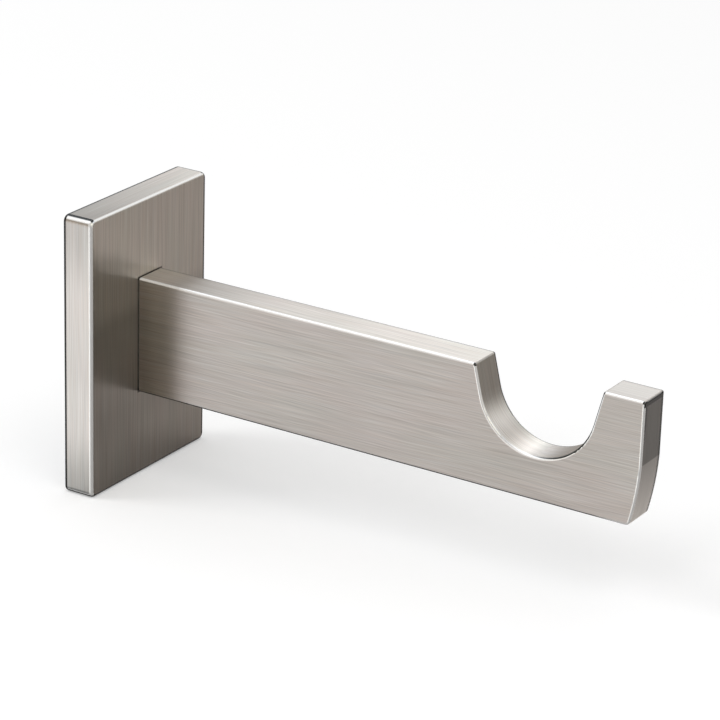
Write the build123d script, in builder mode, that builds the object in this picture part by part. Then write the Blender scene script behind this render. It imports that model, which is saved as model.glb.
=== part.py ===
from build123d import *
from math import cos, radians, sin, tan
import os

# Curtain rod bracket for a 25 mm rod, all lengths in millimetres.
# X runs out from the wall along the arm, Y along the rod, Z up.
# The origin is on the wall, behind the middle of the cover plate.

# Cover plate, hollowed from behind
cover_height = 60.0
cover_width = 40.0
cover_depth = 7.0
cover_wall = 2.5
cover_corner_radius = 1.4
cover_front_radius = 0.9
cover_back_radius = 0.5
recess_corner_radius = 2.0

# Mounting plate that the cover hooks over
mounting_thickness = 4.0
mounting_clearance = 0.3
hook_bevel = 1.5
lift_gap = 1.8
lower_bevel = 3.4
wall_hole_spacing = 32.0
wall_hole_radius = 2.25
wall_sink_radius = 4.5

# Arm, cut from flat bar
arm_height = 25.0
arm_thickness = 8.0
arm_rise = 1.0
arm_edge_radius = 0.5
root_bevel = 0.25

# Cradle for the rod
rod_reach = 100.2
rod_radius = 12.5
rod_clearance = 0.1
rod_drop = 3.4
flare_angle = 14.0

# Nose in front of the rod, with a curved toe below
nose_width = 8.8
nose_rise = 0.8
toe_height = 12.7
toe_setback = 1.9
toe_radius = 60.0
toe_corner_radius = 1.0

# M4 countersunk socket screws that hold the arm to the cover plate
screw_radius = 2.0
screw_length = 12.0
screw_spacing = 14.0
screw_hole_radius = 2.25
screw_head_radius = 4.0
screw_head_land = 0.2
screw_end_chamfer = 0.4
screw_socket = 2.5
screw_socket_depth = 1.5
screw_sink_angle = 90.0
thread_clearance = 0.05
tap_runout = 1.5
drill_point_angle = 118.0

# M4 cone point grub screw in the lower wall of the cover plate
grub_length = 4.0
grub_bite = 0.4
grub_end_chamfer = 0.3
grub_socket = 2.0
grub_socket_depth = 1.5
seat_clearance = 0.05

# Recess of the cover plate, and the mounting plate inside it
recess_depth = mounting_thickness + mounting_clearance
recess_width = cover_width - 2 * cover_wall
recess_top = cover_height / 2 - cover_wall
recess_bottom = -recess_top
mounting_width = recess_width - 2 * mounting_clearance
mounting_top = recess_top - mounting_clearance
mounting_bottom = recess_bottom + lift_gap
upper_bevel = hook_bevel - mounting_clearance

# Outline of the arm; the seat is an arc, and straight walls leave it tangentially
arm_top = arm_rise + arm_height / 2
arm_bottom = arm_rise - arm_height / 2
nose_top = arm_top + nose_rise
seat_radius = rod_radius + rod_clearance
rod_level = arm_top - rod_drop
flare = radians(flare_angle)
seat_half_width = seat_radius * cos(flare)
seat_end_level = rod_level - seat_radius * sin(flare)
arm_mouth = rod_reach - seat_half_width - (arm_top - seat_end_level) * tan(flare)
nose_mouth = rod_reach + seat_half_width + (nose_top - seat_end_level) * tan(flare)
nose_end = nose_mouth + nose_width
toe_end = nose_end - toe_setback
crease_level = arm_bottom + toe_height

# Fasteners
screw_levels = [arm_rise - screw_spacing / 2, arm_rise + screw_spacing / 2]
screw_end = recess_depth + screw_length
tap_radius = screw_radius + thread_clearance
tap_end = screw_end + tap_runout
drill_point = tap_end + tap_radius / tan(radians(drill_point_angle / 2))
grub_reach = lower_bevel - grub_bite
grub_tip = mounting_bottom + grub_bite - seat_clearance
grub_bottom = grub_tip - grub_length

os.makedirs("parts", exist_ok=True)

# Cover plate: rounded plate, recess at the back, hook along the top of the recess
with BuildPart() as cover_plate:
    with BuildSketch(Plane.YZ):
        RectangleRounded(cover_width, cover_height, cover_corner_radius)
    extrude(amount=cover_depth)
    fillet(cover_plate.faces().sort_by(Axis.X)[-1].edges(), cover_front_radius)
    fillet(cover_plate.faces().sort_by(Axis.X)[0].edges(), cover_back_radius)
    with BuildSketch(Plane.YZ):
        RectangleRounded(recess_width, recess_top - recess_bottom, recess_corner_radius)
    extrude(amount=recess_depth, mode=Mode.SUBTRACT)
    with BuildSketch(Plane.XZ):
        Polygon(
            (0, recess_top - hook_bevel),
            (hook_bevel, recess_top),
            (hook_bevel, recess_top + cover_wall / 2),
            (0, recess_top + cover_wall / 2),
        )
    extrude(amount=recess_width / 2 - recess_corner_radius, both=True)
    with Locations(Plane.ZY.offset(-recess_depth)):
        with Locations([(level, 0) for level in screw_levels]):
            CounterSinkHole(
                radius=screw_hole_radius,
                counter_sink_radius=screw_head_radius + screw_head_land + seat_clearance,
                counter_sink_angle=screw_sink_angle,
            )
    with BuildSketch(Plane.XY.offset(-cover_height / 2)):
        with Locations((grub_reach, 0)):
            Circle(tap_radius)
    extrude(amount=grub_tip + cover_height / 2, mode=Mode.SUBTRACT)
cover_plate.part.label = "cover_plate"
export_step(cover_plate.part, "parts/cover_plate.step")

# Mounting plate: flat bar with an undercut bevel above and below, two holes for wall screws
with BuildPart() as mounting_plate:
    with BuildSketch(Plane.XZ):
        Polygon(
            (0, mounting_bottom + lower_bevel),
            (lower_bevel, mounting_bottom),
            (mounting_thickness, mounting_bottom),
            (mounting_thickness, mounting_top),
            (upper_bevel, mounting_top),
            (0, mounting_top - upper_bevel),
        )
    extrude(amount=mounting_width / 2, both=True)
    with BuildSketch(Plane.YZ):
        with Locations((0, (mounting_top + mounting_bottom) / 2)):
            RectangleRounded(
                mounting_width,
                mounting_top - mounting_bottom,
                recess_corner_radius - mounting_clearance,
            )
    extrude(amount=mounting_thickness, mode=Mode.INTERSECT)
    with Locations(Plane.YZ.offset(mounting_thickness)):
        with GridLocations(0, wall_hole_spacing, 1, 2):
            CounterSinkHole(
                radius=wall_hole_radius,
                counter_sink_radius=wall_sink_radius,
                counter_sink_angle=screw_sink_angle,
            )
mounting_plate.part.label = "mounting_plate"
export_step(mounting_plate.part, "parts/mounting_plate.step")

# Arm: flat bar with the cradle and nose cut into its end, tapped at the root
with BuildPart() as arm:
    with BuildSketch(Plane.XZ):
        with BuildLine():
            seat = CenterArc(
                (rod_reach, rod_level), seat_radius, 180 + flare_angle, 180 - 2 * flare_angle
            )
            toe = RadiusArc((nose_end, crease_level), (toe_end, arm_bottom), toe_radius)
            Polyline(seat @ 1, (nose_mouth, nose_top), (nose_end, nose_top), toe @ 0)
            Polyline(
                toe @ 1,
                (cover_depth, arm_bottom),
                (cover_depth, arm_top),
                (arm_mouth, arm_top),
                seat @ 0,
            )
        make_face()
    extrude(amount=arm_thickness / 2, both=True)
    fillet(arm.edges().filter_by(Axis.Y).group_by(Axis.Z)[0].sort_by(Axis.X)[-1], toe_corner_radius)
    root = arm.faces().sort_by(Axis.X)[0]
    side_edges = arm.faces().filter_by(Axis.Y).edges() - root.edges()
    nose_corners = arm.edges().filter_by(Axis.Y).group_by(Axis.Z)[-1]
    mouth_corner = arm.edges().filter_by(Axis.Y).group_by(Axis.Z)[-2].sort_by(Axis.X)[-1:]
    fillet(side_edges + nose_corners + mouth_corner, arm_edge_radius)
    chamfer(arm.faces().sort_by(Axis.X)[0].edges(), root_bevel)
    for level in screw_levels:
        with BuildSketch(Plane.XZ):
            Polygon(
                (cover_depth, level),
                (cover_depth, level + tap_radius),
                (tap_end, level + tap_radius),
                (drill_point, level),
            )
        revolve(axis=Axis((0, 0, level), (1, 0, 0)), mode=Mode.SUBTRACT)
arm.part.label = "arm"
export_step(arm.part, "parts/arm.step")

# Arm screws: heads flush with the floor of the recess, shanks in the root of the arm
with BuildPart() as arm_screws:
    for level in screw_levels:
        with BuildSketch(Plane.XZ):
            Polygon(
                (recess_depth, level),
                (recess_depth, level + screw_head_radius),
                (recess_depth + screw_head_land, level + screw_head_radius),
                (recess_depth + screw_head_land + screw_head_radius - screw_radius, level + screw_radius),
                (screw_end - screw_end_chamfer, level + screw_radius),
                (screw_end, level + screw_radius - screw_end_chamfer),
                (screw_end, level),
            )
        revolve(axis=Axis((0, 0, level), (1, 0, 0)))
    with BuildSketch(Plane.YZ.offset(recess_depth)):
        with Locations([(0, level) for level in screw_levels]):
            RegularPolygon(screw_socket / 2, 6, major_radius=False)
    extrude(amount=screw_socket_depth, mode=Mode.SUBTRACT)
arm_screws.part.label = "arm_screws"
export_step(arm_screws.part, "parts/arm_screws.step")

# Grub screw: its cone bears on the lower bevel of the mounting plate
with BuildPart() as grub_screw:
    with BuildSketch(Plane.XZ):
        Polygon(
            (grub_reach, grub_bottom),
            (grub_reach + screw_radius - grub_end_chamfer, grub_bottom),
            (grub_reach + screw_radius, grub_bottom + grub_end_chamfer),
            (grub_reach + screw_radius, grub_tip - screw_radius),
            (grub_reach, grub_tip),
        )
    revolve(axis=Axis((grub_reach, 0, 0), (0, 0, 1)))
    with BuildSketch(Plane.XY.offset(grub_bottom)):
        with Locations((grub_reach, 0)):
            RegularPolygon(grub_socket / 2, 6, major_radius=False)
    extrude(amount=grub_socket_depth, mode=Mode.SUBTRACT)
grub_screw.part.label = "grub_screw"
export_step(grub_screw.part, "parts/grub_screw.step")
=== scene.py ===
import math

import bpy
from mathutils import Matrix, Vector

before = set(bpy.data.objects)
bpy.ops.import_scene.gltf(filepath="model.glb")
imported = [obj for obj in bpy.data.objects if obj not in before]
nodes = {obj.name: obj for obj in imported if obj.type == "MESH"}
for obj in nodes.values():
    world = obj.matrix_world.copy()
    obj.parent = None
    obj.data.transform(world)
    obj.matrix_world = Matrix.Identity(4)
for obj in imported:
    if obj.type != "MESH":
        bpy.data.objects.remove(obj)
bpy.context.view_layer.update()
print("frame loaded:", ", ".join(sorted(nodes)))


# Node helpers

def addNode(tree, kind, inputs=None, **settings):
    # inputs are given by socket name or number, as a value or as the socket that feeds it
    node = tree.nodes.new(kind)
    for name, value in settings.items():
        setattr(node, name, value)
    for key, value in (inputs or {}).items():
        if isinstance(value, bpy.types.NodeSocket):
            tree.links.new(value, node.inputs[key])
        else:
            node.inputs[key].default_value = value
    return node


def calc(tree, operation, first, second=0.0, third=0.0, clamp=False):
    inputs = {0: first, 1: second, 2: third}
    return addNode(tree, "ShaderNodeMath", inputs, operation=operation, use_clamp=clamp).outputs[0]


def product(tree, *factors):
    result = factors[0]
    for factor in factors[1:]:
        result = calc(tree, "MULTIPLY", result, factor)
    return result


def highest(tree, *values):
    result = values[0]
    for value in values[1:]:
        result = calc(tree, "MAXIMUM", result, value)
    return result


def above(tree, value, limit):
    return calc(tree, "GREATER_THAN", value, limit)


def below(tree, value, limit):
    return calc(tree, "LESS_THAN", value, limit)


def vectorCalc(tree, operation, first, second=(0.0, 0.0, 0.0)):
    node = addNode(tree, "ShaderNodeVectorMath", {0: first, 1: second}, operation=operation)
    return node.outputs["Value" if operation in ("DOT_PRODUCT", "LENGTH") else "Vector"]


def scaled(tree, vector, scale):
    node = addNode(tree, "ShaderNodeVectorMath", {0: vector, "Scale": scale}, operation="SCALE")
    return node.outputs[0]


def combine(tree, x, y=0.0, z=0.0):
    return addNode(tree, "ShaderNodeCombineXYZ", {0: x, 1: y, 2: z}).outputs[0]


def separate(tree, vector):
    return addNode(tree, "ShaderNodeSeparateXYZ", {0: vector}).outputs


def ramp(tree, value, fromMin, fromMax, toMin=0.0, toMax=1.0, smooth=True):
    inputs = {"Value": value, "From Min": fromMin, "From Max": fromMax}
    inputs.update({"To Min": toMin, "To Max": toMax})
    kind = "SMOOTHSTEP" if smooth else "LINEAR"
    node = addNode(tree, "ShaderNodeMapRange", inputs, interpolation_type=kind)
    return node.outputs["Result"]


def toneSteps(tree, value, steps):
    # each step: where it starts and ends, and the shade before and after it
    return product(tree, *[ramp(tree, value, *step) for step in steps])


# the Mix node takes numbers at its sockets 2 and 3, vectors at 4 and 5, colours at 6 and 7

def mixValues(tree, mask, first, second):
    inputs = {"Factor": mask, 2: first, 3: second}
    return addNode(tree, "ShaderNodeMix", inputs, data_type="FLOAT").outputs[0]


def mixVectors(tree, mask, first, second):
    inputs = {"Factor": mask, 4: first, 5: second}
    return addNode(tree, "ShaderNodeMix", inputs, data_type="VECTOR").outputs[1]


def mixColours(tree, mask, first, second, blend="MIX"):
    inputs = {"Factor": mask, 6: first, 7: second}
    return addNode(tree, "ShaderNodeMix", inputs, data_type="RGBA", blend_type=blend).outputs[2]


def shadeOn(tree, mask, shade):
    # the shade where the mask is 1, and no change elsewhere
    return mixValues(tree, mask, 1.0, shade)


def noise(tree, vector, scale=1.0, detail=2.0, roughness=0.5):
    inputs = {"Vector": vector, "Scale": scale, "Detail": detail, "Roughness": roughness}
    return addNode(tree, "ShaderNodeTexNoise", inputs).outputs["Fac"]


def surfaceAxes(tree):
    # object position in mm, and the parts of the normal, without signs (steep) and with (facing)
    place = addNode(tree, "ShaderNodeTexCoord").outputs
    position = vectorCalc(tree, "MULTIPLY", place["Object"], (1000.0,) * 3)
    steep = vectorCalc(tree, "ABSOLUTE", place["Normal"])
    at = {"position": position}
    at["x"], at["y"], at["z"] = separate(tree, position)
    at["steepX"], at["steepY"], at["steepZ"] = separate(tree, steep)
    at["facingX"], at["facingY"], at["facingZ"] = separate(tree, place["Normal"])
    return at


faceTurn = 0.7  # part of the normal past which a face counts as turned that way


def newGroup(name, inputs, outputs):
    group = bpy.data.node_groups.new(name, "ShaderNodeTree")
    addSocket = group.interface.new_socket
    for socketName, kind, value in inputs:
        socket = addSocket(socketName, in_out="INPUT", socket_type="NodeSocket" + kind)
        if value is not None:
            socket.default_value = value
    for socketName in outputs:
        addSocket(socketName, in_out="OUTPUT", socket_type="NodeSocketFloat")
    start = group.nodes.new("NodeGroupInput")
    end = group.nodes.new("NodeGroupOutput")
    return group, start.outputs, end.inputs


def newMaterial(name):
    material = bpy.data.materials.new(name)
    material.use_nodes = True
    tree = material.node_tree
    tree.nodes.clear()
    shader = addNode(tree, "ShaderNodeBsdfPrincipled")
    addNode(tree, "ShaderNodeOutputMaterial", {"Surface": shader.outputs[0]}, is_active_output=True)
    return material, tree, shader


def addBump(tree, shader, height, values):
    inputs = {"Strength": values["bumpStrength"], "Distance": values["bumpHeight"]}
    bump = addNode(tree, "ShaderNodeBump", {"Height": height, **inputs})
    tree.links.new(bump.outputs[0], shader.inputs["Normal"])


# Brushed grain: Position in mm, X along the strokes, Y across them

grainPlan = {
    "wander": 1.2,  # mm that the strokes stray sideways
    "wanderScale": (0.03, 0.2, 0.2),
    "cloudScale": (0.05, 0.16, 0.16),
    # turn, length, width, offset and weight of each layer of strokes
    "layers": [
        (0.0, 1.2, 1.0, 0.0, 0.46),
        (1.0, 0.5, 0.8, 17.0, 0.26),
        (-0.6, 0.6, 1.3, 41.0, 0.20),
        (0.15, 3.2, 0.9, 73.0, 0.08),
    ],
}


def makeBrushedGrain(plan):
    group, given, result = newGroup(
        "brushedGrain",
        [
            ("Position", "Vector", None),
            ("Stroke Length", "Float", 20.0),
            ("Stroke Width", "Float", 0.3),
            ("Spread", "Float", 0.05),
        ],
        ["Strokes", "Marks", "Warm", "Clouds"],
    )
    position = given["Position"]
    x, y, z = separate(group, position)
    wander = noise(group, vectorCalc(group, "MULTIPLY", position, plan["wanderScale"]), detail=1.0)
    wander = calc(group, "MULTIPLY", calc(group, "SUBTRACT", wander, 0.5), plan["wander"])
    layers = []
    strokes = 0.0
    for turn, longer, wider, offset, weight in plan["layers"]:
        lean = calc(group, "MULTIPLY", given["Spread"], turn)
        across = calc(group, "ADD", calc(group, "MULTIPLY_ADD", x, lean, y), wander)
        width = calc(group, "MULTIPLY", given["Stroke Width"], wider)
        length = calc(group, "MULTIPLY", given["Stroke Length"], longer)
        across, along = calc(group, "DIVIDE", across, width), calc(group, "DIVIDE", x, length)
        vector = combine(group, along, across, calc(group, "ADD", z, offset))
        layers.append(noise(group, vector, detail=1.5, roughness=0.6))
        strokes = calc(group, "MULTIPLY_ADD", layers[-1], weight, strokes)
    clouds = noise(group, vectorCalc(group, "MULTIPLY", position, plan["cloudScale"]))
    # name, source, range and whether it is eased in and out
    for name, value, low, high, smooth in (
        ("Strokes", strokes, 0.32, 0.68, False),
        ("Marks", layers[3], 0.70, 0.82, True),
        ("Warm", layers[2], 0.30, 0.70, False),
        ("Clouds", clouds, 0.25, 0.75, False),
    ):
        group.links.new(ramp(group, value, low, high, smooth=smooth), result[name])
    return group


brushedGrain = makeBrushedGrain(grainPlan)

# Brushed nickel, its rounded edges smoothed by polishing and given a painted pale highlight; a
# piece's own dictionary can replace any of these values

brushedNickel = {
    "colour": (0.66, 0.61, 0.56, 1.0),
    "roughness": 0.38,
    "roughnessSwing": 0.04,
    "anisotropy": 0.9,
    "strokeWidth": 0.28,  # mm
    "markShade": 0.86,
    "clouds": ((1.01, 0.985, 0.98, 1.0), (0.98, 1.0, 0.985, 1.0)),
    "tints": ((1.02, 1.0, 0.98, 1.0), (0.985, 1.0, 1.015, 1.0)),
    # painted highlight on the roundings: a pale colour, half diffuse, so the lamps light it from
    # any side
    "paleHighlightColour": (0.94, 0.925, 0.90, 1.0),
    "edgeMetal": 0.5,
    "edgeRoughness": 0.18,
    "bumpStrength": 0.35,
    "bumpHeight": 0.00001,
}


def finishBrushed(tree, shader, grainPosition, tangent, masks, piece):
    # masks: polishing with a painted pale highlight along the roundings, painted dark lines beside
    # it, painted light and shade on the colour; calm fades the grain to endGrey, rougher adds to
    # roughness
    values = {**brushedNickel, **piece}
    given = {
        "Position": grainPosition,
        "Stroke Length": values["strokeLength"],
        "Stroke Width": values["strokeWidth"],
        "Spread": values["spread"],
    }
    grain = addNode(tree, "ShaderNodeGroup", given, node_tree=brushedGrain).outputs
    low, high = 1.0 - values["contrast"], 1.0 + values["contrast"]
    shade = ramp(tree, grain["Strokes"], 0.0, 1.0, low, high, smooth=False)
    shade = product(tree, shade, ramp(tree, grain["Marks"], 0.0, 1.0, 1.0, values["markShade"]))
    clouded = mixColours(tree, grain["Clouds"], *values["clouds"])
    tint = mixColours(tree, grain["Warm"], *values["tints"])
    colour = mixColours(tree, 1.0, values["colour"], clouded, "MULTIPLY")
    colour = mixColours(tree, 1.0, colour, tint, "MULTIPLY")
    if "calm" in masks:
        shade = mixValues(tree, masks["calm"], shade, 1.0)
        colour = mixColours(tree, masks["calm"], colour, values["endGrey"])
    colour = scaled(tree, colour, product(tree, shade, masks["paintedLight"]))
    colour = mixColours(tree, masks["polishAndHighlight"], colour, values["paleHighlightColour"])
    colour = scaled(tree, colour, shadeOn(tree, masks["paintedDarkLines"], values["lineShade"]))
    tree.links.new(colour, shader.inputs["Base Color"])
    between, swing = values["roughness"], values["roughnessSwing"]
    rough = ramp(tree, grain["Strokes"], 0.0, 1.0, between + swing, between - swing, smooth=False)
    rough = calc(tree, "ADD", rough, masks.get("rougher", 0.0))
    edge = highest(tree, masks["polishAndHighlight"], masks["paintedDarkLines"])
    rough = mixValues(tree, edge, rough, values["edgeRoughness"])
    tree.links.new(rough, shader.inputs["Roughness"])
    paleHighlight = calc(tree, "SUBTRACT", masks["polishAndHighlight"], masks["paintedDarkLines"], clamp=True)
    tree.links.new(shadeOn(tree, paleHighlight, values["edgeMetal"]), shader.inputs["Metallic"])
    addBump(tree, shader, grain["Strokes"], values)
    tree.links.new(tangent, shader.inputs["Tangent"])
    shader.inputs["Anisotropic"].default_value = values["anisotropy"]


# Arm: places in mm, and turns of the surface as parts of its normal; a pair runs from where a
# mask is 0 to where it is 1

arm = {
    "contrast": 0.20,
    "strokeLength": 24.0,
    "spread": 0.06,
    "grainLean": 1.2,  # degrees, rising towards the nose
    "rimSlice": 60.0,  # keeps the strokes on the edge faces apart from the sides'
    "seatCentre": (100.2, 10.1),  # X and Z
    "seatRadius": 12.6,
    "seatLow": -4.0,
    "cradle": (86.3, 114.3),  # from X to X
    "noseTopX": 112.5,
    "topRoughness": 0.10,
    # painted shade in the groove where the arm meets the plate, over the root's chamfer
    "seam": (7.15, 7.35),
    "seamPaintedShade": 0.30,
    # painted light and shade standing in for reflections, in steps: start, end, shade before and
    # shade after
    "topTones": [(11.0, 17.0, 1.02, 0.72), (18.0, 42.0, 1.0, 1.40), (45.0, 66.0, 1.0, 1.10)],
    "sideTones": [(8.0, 12.0, 1.0, 1.22), (14.5, 19.0, 1.0, 0.8197)],
    "seatTones": [(-1.30, -0.80, 0.82, 1.16), (-0.22, 0.0, 1.0, 0.76)],  # radians from its bottom
    "noseTopShade": 0.88,
    # nose's end, with painted reflections: its shades are at the toe, below the crease and above it
    "creaseLevel": 1.2,
    "creaseBlur": 0.15,
    "toeLevel": -11.0,
    "endShade": (1.50, 0.86, 0.475),
    "endGrey": (0.62, 0.61, 0.595, 1.0),
    "endCalm": 0.7,
    # the sides' roundings carry polishing and a painted pale highlight
    "polishAndHighlightTurn": ((0.06, 0.2), (0.995, 0.965)),
    # thin dark lines: painted dark reflections along the rims and corners, and painted shade along
    # the underside
    "lineShade": 0.12,
    "farRimY": (3.25, 2.75),  # elsewhere, and on the nose's end
    "farRimBlur": 0.15,
    "farRimTurn": (0.66, 0.54),
    "farRimOnTop": 0.6,
    "innerRimX": (-2.0, 2.5),  # from the seat's centre
    "innerRimY": (-3.25, -3.4),
    "innerRimWidth": (0.0, 7.0, 0.42, 0.90),  # from the seat's centre, and as a turn
    "innerRimBlur": 0.06,
    "innerRimStop": 114.6,
    "innerRimLevels": (-5.0, 13.6),
    "cornerTurn": (0.05, 0.13),
    "cornerLevel": 12.9,
    "lowRimX": (118.0, 112.0),
    "lowRimZ": (-10.4, -10.9, 0.0, 0.75),
    "lowRimTurn": ((-0.1, -0.25), (0.1, 0.2)),  # downwards, and sideways
    "nearLineY": ((-2.6, -3.0), (-3.56, -3.46)),
    "nearLineZ": (1.0, 11.0),
    "topLineZ": (13.0, 13.2),
    "topLineTurn": (0.45, 0.3),
}


def armZones(tree, at):
    start, stop = arm["cradle"]
    beforeCradle, pastCradle = below(tree, at["x"], start), above(tree, at["x"], stop)
    inCradle = product(tree, above(tree, at["x"], start), below(tree, at["x"], stop))
    upward = above(tree, at["facingZ"], 0.9)
    return {
        "beforeCradle": beforeCradle,
        "pastCradle": pastCradle,
        "side": above(tree, at["steepY"], faceTurn),
        "top": product(tree, beforeCradle, upward),
        "noseTop": product(tree, upward, above(tree, at["x"], arm["noseTopX"])),
        "end": product(tree, pastCradle, above(tree, at["steepX"], faceTurn)),
        "seat": product(
            tree, inCradle, above(tree, at["z"], arm["seatLow"]), below(tree, at["steepY"], 0.5)
        ),
    }


def armGrain(tree, at, zones, seatX, seatZ):
    # on the sides the strokes lean a little; over the edge faces they follow the profile
    lean = math.radians(arm["grainLean"])
    along = product(tree, at["z"], math.sin(lean))
    along = calc(tree, "MULTIPLY_ADD", at["x"], math.cos(lean), along)
    across = product(tree, at["z"], math.cos(lean))
    across = calc(tree, "MULTIPLY_ADD", at["x"], -math.sin(lean), across)
    sideGrain = combine(tree, along, across, at["y"])
    roundSeat = product(tree, calc(tree, "ARCTAN2", seatX, seatZ), arm["seatRadius"])
    profile = mixValues(tree, zones["beforeCradle"], roundSeat, at["x"])
    profile = mixValues(tree, zones["pastCradle"], profile, at["z"])
    rimGrain = combine(tree, profile, at["y"], arm["rimSlice"])
    sideTangent = (-math.sin(lean), 0.0, math.cos(lean))
    tangent = mixVectors(tree, zones["side"], (0.0, 1.0, 0.0), sideTangent)
    return mixVectors(tree, zones["side"], rimGrain, sideGrain), tangent


# painted light and shade: the seam's shade, and brighter and darker bands standing in for
# reflections on the sides, top, seat and nose
def armPaintedLight(tree, at, zones, seatX, seatZ):
    toeShade, lowShade, highShade = arm["endShade"]
    crease, blur = arm["creaseLevel"], arm["creaseBlur"]
    endTone = ramp(tree, at["z"], arm["toeLevel"], crease, toeShade, lowShade, smooth=False)
    aboveCrease = ramp(tree, at["z"], crease - blur, crease + blur)
    endTone = mixValues(tree, aboveCrease, endTone, highShade)
    fromDown = calc(tree, "ARCTAN2", seatX, product(tree, seatZ, -1.0))
    return product(
        tree,
        ramp(tree, at["x"], *arm["seam"], arm["seamPaintedShade"], 1.0),
        shadeOn(tree, zones["end"], endTone),
        shadeOn(tree, zones["side"], toneSteps(tree, at["x"], arm["sideTones"])),
        shadeOn(tree, zones["top"], toneSteps(tree, at["x"], arm["topTones"])),
        shadeOn(tree, zones["noseTop"], arm["noseTopShade"]),
        shadeOn(tree, zones["seat"], toneSteps(tree, fromDown, arm["seatTones"])),
    )


# painted dark reflections along the rims, the corners and the nose's end, and painted shade along
# the underside
def armPaintedDarkLines(tree, at, zones, seatX):
    # the far rims
    farStart = mixValues(tree, zones["end"], *arm["farRimY"])
    farRim = product(
        tree,
        ramp(tree, at["y"], farStart, calc(tree, "ADD", farStart, arm["farRimBlur"])),
        ramp(tree, at["facingY"], *arm["farRimTurn"]),
        shadeOn(tree, above(tree, at["facingZ"], faceTurn), arm["farRimOnTop"]),
    )
    # inner side of the cradle's near rim, wider towards the nose
    low, high = arm["innerRimLevels"]
    blur = arm["innerRimBlur"]
    width = ramp(tree, seatX, *arm["innerRimWidth"])
    innerRim = product(
        tree,
        ramp(tree, calc(tree, "SUBTRACT", at["steepY"], width), blur, -blur),
        ramp(tree, seatX, *arm["innerRimX"]),
        ramp(tree, at["y"], *arm["innerRimY"]),
        below(tree, at["x"], arm["innerRimStop"]),
        above(tree, at["z"], low),
        below(tree, at["z"], high),
    )
    # the sharp corners above the cradle
    leastSteep = calc(tree, "MINIMUM", at["steepY"], at["steepZ"])
    leastSteep = calc(tree, "MINIMUM", at["steepX"], leastSteep)
    corners = product(
        tree, ramp(tree, leastSteep, *arm["cornerTurn"]), above(tree, at["z"], arm["cornerLevel"])
    )
    # painted shade on the roundings beside the underside
    downTurn, sideTurn = arm["lowRimTurn"]
    lowRim = product(
        tree,
        ramp(tree, at["facingZ"], *downTurn),
        ramp(tree, at["steepY"], *sideTurn),
        ramp(tree, at["x"], *arm["lowRimX"]),
        ramp(tree, at["z"], *arm["lowRimZ"]),
    )
    # on the nose's end, beside its near rim and under its top
    inwards, outwards = arm["nearLineY"]
    nearLine = product(
        tree,
        ramp(tree, at["y"], *inwards),
        ramp(tree, at["y"], *outwards),
        ramp(tree, at["z"], *arm["nearLineZ"]),
    )
    topLine = product(
        tree, ramp(tree, at["z"], *arm["topLineZ"]), ramp(tree, at["steepZ"], *arm["topLineTurn"])
    )
    endLine = product(tree, zones["end"], highest(tree, nearLine, topLine))
    return highest(tree, corners, lowRim, farRim, innerRim, endLine)


def makeArmNickel():
    material, tree, shader = newMaterial("brushedNickelArm")
    at = surfaceAxes(tree)
    zones = armZones(tree, at)
    seatX = calc(tree, "SUBTRACT", at["x"], arm["seatCentre"][0])
    seatZ = calc(tree, "SUBTRACT", at["z"], arm["seatCentre"][1])
    grainPosition, tangent = armGrain(tree, at, zones, seatX, seatZ)
    masks = {
        "polishAndHighlight": product(tree, *[ramp(tree, at["steepY"], *turn) for turn in arm["polishAndHighlightTurn"]]),
        "paintedDarkLines": armPaintedDarkLines(tree, at, zones, seatX),
        "paintedLight": armPaintedLight(tree, at, zones, seatX, seatZ),
        "rougher": product(tree, zones["top"], arm["topRoughness"]),
        "calm": product(tree, zones["end"], arm["endCalm"]),
    }
    finishBrushed(tree, shader, grainPosition, tangent, masks, arm)
    return material


# Cover plate, in the same units

coverPlate = {
    "contrast": 0.18,
    "strokeLength": 30.0,
    "spread": 0.03,
    "halfSize": (20.0, 30.0),
    "topLevel": 28.0,
    "armHalfSize": (4.0, 12.5),
    "armMiddle": 1.0,
    # painted shade in the groove round the arm's foot on the front
    "seam": (0.32, 0.08),  # mm outside the arm
    "seamPaintedShade": 0.30,
    # painted light and shade standing in for reflections, in steps: start, end, shade before and
    # shade after
    "topTone": (-18.0, 18.0, 0.68, 1.12),
    "frontTones": [(5.0, 10.5, 0.90, 1.18), (-13.0, -22.0, 0.94, 1.11)],
    "sideTones": [(12.0, 27.0, 1.0, 0.80), (-2.0, -10.0, 1.0, 1.08), (-15.0, -28.0, 1.0, 0.72)],
    # polishing with a painted highlight: by the steepest part of the normal, wide and narrow, and
    # where they are narrow
    "wideHighlight": (0.985, 0.93),
    "narrowHighlight": (0.90, 0.82),
    "aboveFrontTurn": ((0.12, 0.2), (0.3, 0.15)),
    "belowCornerTurn": ((0.25, 0.15), (0.84, 0.90)),
    # thin dark lines: painted dark reflections on the corners, the back and the far edge, painted
    # shade on the foot
    "lineShade": 0.05,
    "cornerTurn": ((0.04, 0.09), (0.54, 0.44), (0.76, 0.66)),
    "backX": (0.85, 0.65),
    "backTurn": (-0.9, -0.7),
    "backReach": 0.8,
    "farY": (18.85, 19.05),
    "farTurn": (0.72, 0.60),
    "bottomTurn": ((-0.12, -0.25), (-0.48, -0.62)),  # on the front, and on the sides
    "bottomStop": (-0.97, -0.9),
    "besideTurn": (0.2, 0.4),
}


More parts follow.
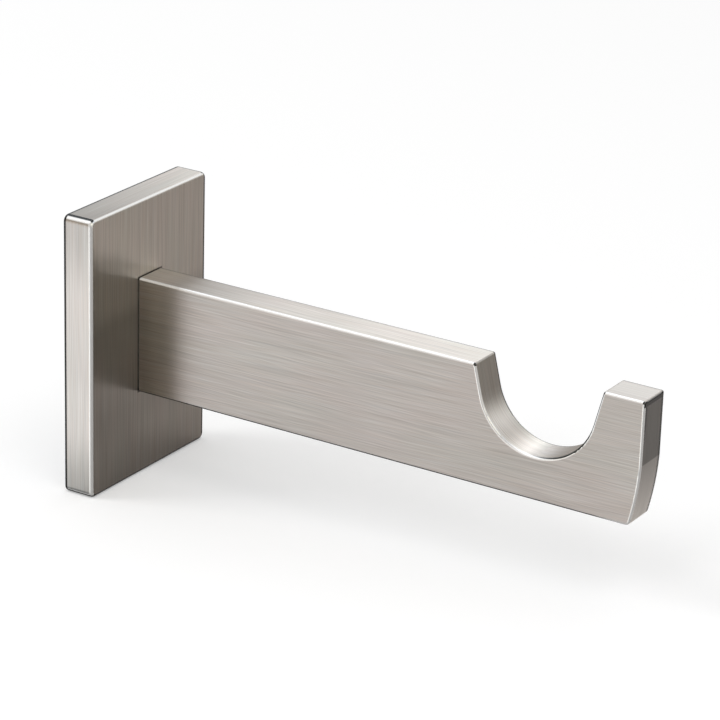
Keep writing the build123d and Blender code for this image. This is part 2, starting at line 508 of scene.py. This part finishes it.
# painted light and shade: the seam's shade, and brighter and darker bands standing in for
# reflections on the front, top and sides
def coverPaintedLight(tree, at, onFront):
    halfWidth, halfHeight = coverPlate["armHalfSize"]
    outsideY = calc(tree, "SUBTRACT", calc(tree, "ABSOLUTE", at["y"]), halfWidth)
    fromMiddle = calc(tree, "ABSOLUTE", calc(tree, "SUBTRACT", at["z"], coverPlate["armMiddle"]))
    outside = highest(tree, outsideY, calc(tree, "SUBTRACT", fromMiddle, halfHeight))
    # painted shade in the seam round the arm's foot
    seam = product(tree, onFront, ramp(tree, outside, *coverPlate["seam"]))
    topTone = ramp(tree, at["y"], *coverPlate["topTone"], smooth=False)
    sideTone = toneSteps(tree, at["z"], coverPlate["sideTones"])
    return product(
        tree,
        shadeOn(tree, seam, coverPlate["seamPaintedShade"]),
        shadeOn(tree, onFront, toneSteps(tree, at["z"], coverPlate["frontTones"])),
        shadeOn(tree, above(tree, at["facingZ"], faceTurn), topTone),
        shadeOn(tree, above(tree, at["steepY"], faceTurn), sideTone),
    )


def coverPaintedDarkLines(tree, at, atTop):
    # painted dark reflections on the two upper corners
    narrowSide, wideSide, front = coverPlate["cornerTurn"]
    corners = product(
        tree,
        ramp(tree, at["steepY"], *narrowSide),
        ramp(tree, at["steepY"], *wideSide),
        ramp(tree, at["steepX"], *front),
        atTop,
    )
    # painted dark reflections on the back edges, on the outside only
    halfWidth, halfHeight = coverPlate["halfSize"]
    toSide = calc(tree, "SUBTRACT", calc(tree, "ABSOLUTE", at["y"]), halfWidth)
    toEnd = calc(tree, "SUBTRACT", calc(tree, "ABSOLUTE", at["z"]), halfHeight)
    back = product(
        tree,
        ramp(tree, at["x"], *coverPlate["backX"]),
        ramp(tree, at["facingX"], *coverPlate["backTurn"]),
        above(tree, highest(tree, toSide, toEnd), -coverPlate["backReach"]),
    )
    # painted dark reflection on the far edge of the front
    far = product(
        tree,
        ramp(tree, at["y"], *coverPlate["farY"]),
        ramp(tree, at["facingY"], *coverPlate["farTurn"]),
        above(tree, at["facingX"], 0.1),
    )
    # painted shade on the roundings round the foot
    beside = ramp(tree, at["steepY"], *coverPlate["besideTurn"])
    frontTurn, sideTurn = coverPlate["bottomTurn"]
    turnStart = mixValues(tree, beside, frontTurn[0], sideTurn[0])
    turnEnd = mixValues(tree, beside, frontTurn[1], sideTurn[1])
    bottom = product(
        tree,
        ramp(tree, at["facingZ"], turnStart, turnEnd),
        ramp(tree, at["facingZ"], *coverPlate["bottomStop"]),
        below(tree, at["z"], -coverPlate["topLevel"]),
    )
    return highest(tree, corners, back, far, bottom)


def coverPolishAndHighlight(tree, at, atTop):
    # the painted highlights above the front and below the upper corners are the narrowest
    steepest = highest(tree, at["steepX"], at["steepY"], at["steepZ"])
    upTurn, frontTurn = coverPlate["aboveFrontTurn"]
    aboveFront = product(
        tree, ramp(tree, at["facingZ"], *upTurn), ramp(tree, at["steepY"], *frontTurn)
    )
    wide = ramp(tree, steepest, *coverPlate["wideHighlight"])
    narrow = ramp(tree, steepest, *coverPlate["narrowHighlight"])
    frontTurn, sideTurn = coverPlate["belowCornerTurn"]
    belowCorner = product(
        tree, atTop, ramp(tree, at["steepX"], *frontTurn), ramp(tree, at["steepY"], *sideTurn)
    )
    return product(
        tree, mixValues(tree, aboveFront, wide, narrow), calc(tree, "SUBTRACT", 1.0, belowCorner)
    )


def makeCoverNickel():
    material, tree, shader = newMaterial("brushedNickelCover")
    at = surfaceAxes(tree)
    onFront = above(tree, at["steepX"], faceTurn)
    onTop = above(tree, at["steepZ"], faceTurn)
    atTop = above(tree, at["z"], coverPlate["topLevel"])
    # upright strokes on the front and the sides, strokes along Y on the top
    frontGrain = combine(tree, at["z"], at["y"], at["x"])
    sideGrain = combine(tree, at["z"], at["x"], at["y"])
    topGrain = combine(tree, at["y"], at["x"], at["z"])
    grainPosition = mixVectors(tree, onFront, sideGrain, frontGrain)
    grainPosition = mixVectors(tree, onTop, grainPosition, topGrain)
    tangent = mixVectors(tree, onFront, (1.0, 0.0, 0.0), (0.0, 1.0, 0.0))
    masks = {
        "polishAndHighlight": coverPolishAndHighlight(tree, at, atTop),
        "paintedDarkLines": coverPaintedDarkLines(tree, at, atTop),
        "paintedLight": coverPaintedLight(tree, at, onFront),
    }
    finishBrushed(tree, shader, grainPosition, tangent, masks, coverPlate)
    return material


def dress(nodeName, material):
    nodes[nodeName].material_slots[0].material = material


dress("arm", makeArmNickel())
dress("cover_plate", makeCoverNickel())
print("brushed nickel made")

# Mounting plate, zinc plated: cool grey, faintly mottled

mountingPlate = {
    "dark": (0.40, 0.42, 0.44, 1.0),
    "pale": (0.54, 0.56, 0.585, 1.0),
    "roughness": (0.46, 0.36),  # dark, and pale
    "mottleSize": 1.4,
    "fineSize": 0.25,
    "fineShare": 0.4,
    "bumpStrength": 0.3,
    "bumpHeight": 0.00002,
}


def makeZinc(values):
    material, tree, shader = newMaterial("zincPlated")
    position = surfaceAxes(tree)["position"]
    broad = noise(tree, position, 1.0 / values["mottleSize"], 3.0, 0.6)
    fine = noise(tree, position, 1.0 / values["fineSize"])
    fine = calc(tree, "MULTIPLY", fine, values["fineShare"])
    mottle = calc(tree, "MULTIPLY_ADD", broad, 1.0 - values["fineShare"], fine)
    mottle = ramp(tree, mottle, 0.35, 0.65, smooth=False)
    colour = mixColours(tree, mottle, values["dark"], values["pale"])
    tree.links.new(colour, shader.inputs["Base Color"])
    tree.links.new(mixValues(tree, mottle, *values["roughness"]), shader.inputs["Roughness"])
    addBump(tree, shader, mottle, values)
    shader.inputs["Metallic"].default_value = 1.0
    return material


# Screws, stainless steel: turned, with fine rings round each screw's own axis

fasteners = {
    "colour": (0.63, 0.62, 0.60, 1.0),
    "roughness": 0.30,
    "roughnessSwing": 0.06,
    "ringWidth": 0.16,
    "contrast": 0.12,
    "screwLevels": (-6.0, 8.0),
    "grubReach": 3.0,
}


def makeStainless(name, upright, values):
    material, tree, shader = newMaterial(name)
    at = surfaceAxes(tree)
    if upright:
        side, along = calc(tree, "SUBTRACT", at["x"], values["grubReach"]), at["z"]
    else:
        low, high = values["screwLevels"]
        fromLow = calc(tree, "ABSOLUTE", calc(tree, "SUBTRACT", at["z"], low))
        fromHigh = calc(tree, "ABSOLUTE", calc(tree, "SUBTRACT", at["z"], high))
        side, along = calc(tree, "MINIMUM", fromLow, fromHigh), at["x"]
    radius = vectorCalc(tree, "LENGTH", combine(tree, side, at["y"]))
    ring = combine(tree, calc(tree, "ADD", radius, along))
    ring = noise(tree, ring, 1.0 / values["ringWidth"], 1.0)
    low, high = 1.0 - values["contrast"], 1.0 + values["contrast"]
    shade = ramp(tree, ring, 0.3, 0.7, low, high, smooth=False)
    tree.links.new(scaled(tree, values["colour"][:3], shade), shader.inputs["Base Color"])
    swing = values["roughnessSwing"]
    rough = calc(tree, "MULTIPLY_ADD", ring, 2.0 * swing, values["roughness"] - swing)
    tree.links.new(rough, shader.inputs["Roughness"])
    shader.inputs["Metallic"].default_value = 1.0
    return material


dress("mounting_plate", makeZinc(mountingPlate))
dress("arm_screws", makeStainless("stainlessArmScrews", False, fasteners))
dress("grub_screw", makeStainless("stainlessGrubScrew", True, fasteners))
print("fittings made")

# Camera, at the photograph's angle

camera = {
    "lens": 164.87,
    "sensorWidth": 36.0,
    "clip": (0.05, 20.0),
    "target": (0.058017, 0.0, 0.00625),
    "distance": 0.65102,
    "azimuth": 31.71,
    "elevation": 21.61,
    "roll": -1.6945,
}


def addCamera(values):
    azimuth, elevation, roll = (
        math.radians(values[key]) for key in ("azimuth", "elevation", "roll")
    )
    right = Vector((math.cos(azimuth), math.sin(azimuth), 0.0))
    level = math.cos(elevation)
    back = Vector((math.sin(azimuth) * level, -math.cos(azimuth) * level, math.sin(elevation)))
    up = back.cross(right)
    data = bpy.data.cameras.new("camera")
    data.lens = values["lens"]
    data.sensor_width = values["sensorWidth"]
    data.clip_start, data.clip_end = values["clip"]
    item = bpy.data.objects.new("camera", data)
    bpy.context.scene.collection.objects.link(item)
    turnedRight = right * math.cos(roll) - up * math.sin(roll)
    turnedUp = right * math.sin(roll) + up * math.cos(roll)
    item.location = Vector(values["target"]) + back * values["distance"]
    item.rotation_mode = "QUATERNION"
    item.rotation_quaternion = Matrix((turnedRight, turnedUp, back)).transposed().to_quaternion()
    bpy.context.scene.camera = item


addCamera(camera)
print("camera placed")

# Studio: pale floor under the plate's lower edge, soft lamps, soft world

studio = {
    "floorLevel": -0.030,
    "floorSize": 6.0,
    "floorColour": (0.80, 0.80, 0.80, 1.0),
    "floorWhite": 0.265,
    "contactReach": 0.08,
    "standingGap": 0.00002,  # metres between the floor and a face that stands on it
    # name, place, aim, size and power
    "lamps": [
        ("sideLamp", (-1.10, -0.67, 1.026), (0.06, 0.0, -0.02), 0.6, 6.2),
        ("frontLamp", (0.796, -0.424, 1.452), (0.06, 0.0, -0.02), 0.6, 2.3),
        ("nearLamp", (0.11, -0.252, 0.223), (0.11, 0.0, -0.02), 0.1, 0.122),
    ],
    "worldLevel": 0.72,
    "windowWidth": 16.9,  # degrees from a window's middle to half its strength
    "flagColour": (0.036, 0.036, 0.036),
    # azimuth and elevation in degrees, colour
    "windows": [
        (-92, -19, (1.86, 1.89, 1.88)),
        (134, 53, (1.58, 1.73, 1.89)),
        (106, 11, (1.62, 1.68, 1.73)),
        (101, 65, (1.44, 1.51, 1.57)),
        (-121, 68, (1.09, 1.10, 1.15)),
        (-11, 20, (1.18, 1.11, 0.89)),
        (-137, 3, (0.92, 0.86, 0.73)),
        (-144, -23, (0.61, 0.76, 0.90)),
        (91, -43, (0.82, 0.76, 0.69)),
        (158, 15, (0.76, 0.75, 0.72)),
        (73, 18, (0.78, 0.75, 0.69)),
        (-24, 38, (0.75, 0.74, 0.62)),
        (41, 24, (0.58, 0.64, 0.72)),
        (78, -24, (0.65, 0.62, 0.62)),
        (-96, 23, (0.68, 0.60, 0.55)),
        (-177, -16, (0.54, 0.60, 0.62)),
        (29, 43, (0.36, 0.44, 0.57)),
        (-124, -13, (0.36, 0.33, 0.38)),
        (-172, -82, (0.31, 0.29, 0.33)),
        (46, -18, (0.29, 0.27, 0.25)),
        (-143, 52, (1.00, 1.00, 1.00)),
        (80, 32, (0.30, 0.30, 0.30)),
        (-170, -21, (0.80, 0.80, 0.80)),
    ],
}
white = (1.0, 1.0, 1.0, 1.0)


def mixShaders(tree, mask, first, second):
    inputs = {0: mask, 1: first.outputs[0], 2: second.outputs[0]}
    return addNode(tree, "ShaderNodeMixShader", inputs)


def addFloor(values):
    bpy.ops.object.select_all(action="DESELECT")
    place = (0.0, 0.0, values["floorLevel"])
    bpy.ops.mesh.primitive_plane_add(size=values["floorSize"], location=place)
    floor = bpy.context.object
    floor.name = "floor"
    bpy.ops.object.transform_apply(location=True, rotation=True, scale=True)
    material = bpy.data.materials.new("paleFloor")
    material.use_nodes = True
    tree = material.node_tree
    tree.nodes.clear()
    ray = addNode(tree, "ShaderNodeLightPath").outputs
    # the camera sees a white floor that keeps the object's shadow
    diffuse = addNode(tree, "ShaderNodeBsdfDiffuse", {"Color": values["floorColour"]})
    glow = addNode(tree, "ShaderNodeEmission", {"Color": white, "Strength": values["floorWhite"]})
    both = addNode(tree, "ShaderNodeAddShader", {0: diffuse.outputs[0], 1: glow.outputs[0]})
    shown = mixShaders(tree, ray["Is Camera Ray"], diffuse, both)
    # metal sees the studio through it, darker near the object but not from a face that stands on it
    reach = {"Distance": values["contactReach"]}
    contact = addNode(tree, "ShaderNodeAmbientOcclusion", reach, samples=8)
    standing = below(tree, ray["Ray Length"], values["standingGap"])
    mirroredColour = mixColours(tree, standing, contact.outputs["Color"], white)
    mirrored = addNode(tree, "ShaderNodeBsdfTransparent", {"Color": mirroredColour})
    seen = mixShaders(tree, ray["Is Glossy Ray"], shown, mirrored)
    # from below the floor is clear
    clear = addNode(tree, "ShaderNodeBsdfTransparent")
    under = addNode(tree, "ShaderNodeNewGeometry").outputs["Backfacing"]
    surface = mixShaders(tree, under, seen, clear)
    addNode(tree, "ShaderNodeOutputMaterial", {"Surface": surface.outputs[0]})
    floor.data.materials.append(material)


def addLamp(name, place, aim, size, power):
    data = bpy.data.lights.new(name, "AREA")
    data.shape = "SQUARE"
    data.size = size
    data.energy = power
    item = bpy.data.objects.new(name, data)
    bpy.context.scene.collection.objects.link(item)
    item.location = place
    item.rotation_mode = "QUATERNION"
    item.rotation_quaternion = (Vector(aim) - Vector(place)).to_track_quat("-Z", "Y")
    item.visible_camera = False
    item.visible_glossy = False


def addWorld(values):
    # a plain level gives the light; the background is white, and metal sees it through soft
    # windows between dark flags
    world = bpy.data.worlds.new("studio")
    bpy.context.scene.world = world
    world.use_nodes = True
    world.cycles.sampling_method = "NONE"
    tree = world.node_tree
    tree.nodes.clear()
    ray = addNode(tree, "ShaderNodeLightPath").outputs
    direction = addNode(tree, "ShaderNodeTexCoord").outputs["Generated"]
    sharpness = math.log(2.0) / (1.0 - math.cos(math.radians(values["windowWidth"])))
    mirrored = values["flagColour"]
    for azimuth, elevation, colour in values["windows"]:
        turn, rise = math.radians(azimuth), math.radians(elevation)
        reach = math.cos(rise)
        towards = (math.cos(turn) * reach, math.sin(turn) * reach, math.sin(rise))
        facing = vectorCalc(tree, "DOT_PRODUCT", direction, towards)
        fall = calc(tree, "EXPONENT", calc(tree, "MULTIPLY_ADD", facing, sharpness, -sharpness))
        mirrored = vectorCalc(tree, "ADD", scaled(tree, colour, fall), mirrored)
    shown = mixColours(tree, ray["Is Glossy Ray"], white, mirrored)
    background = addNode(tree, "ShaderNodeBackground", {"Color": shown, "Strength": 1.0})
    level = {"Color": white, "Strength": values["worldLevel"]}
    light = addNode(tree, "ShaderNodeBackground", level)
    direct = highest(tree, ray["Is Camera Ray"], ray["Is Transmission Ray"], ray["Is Glossy Ray"])
    both = mixShaders(tree, direct, light, background)
    addNode(tree, "ShaderNodeOutputWorld", {"Surface": both.outputs[0]})


addFloor(studio)
for lamp in studio["lamps"]:
    addLamp(*lamp)
addWorld(studio)
bpy.context.scene.view_settings.view_transform = "Standard"
print("studio made")
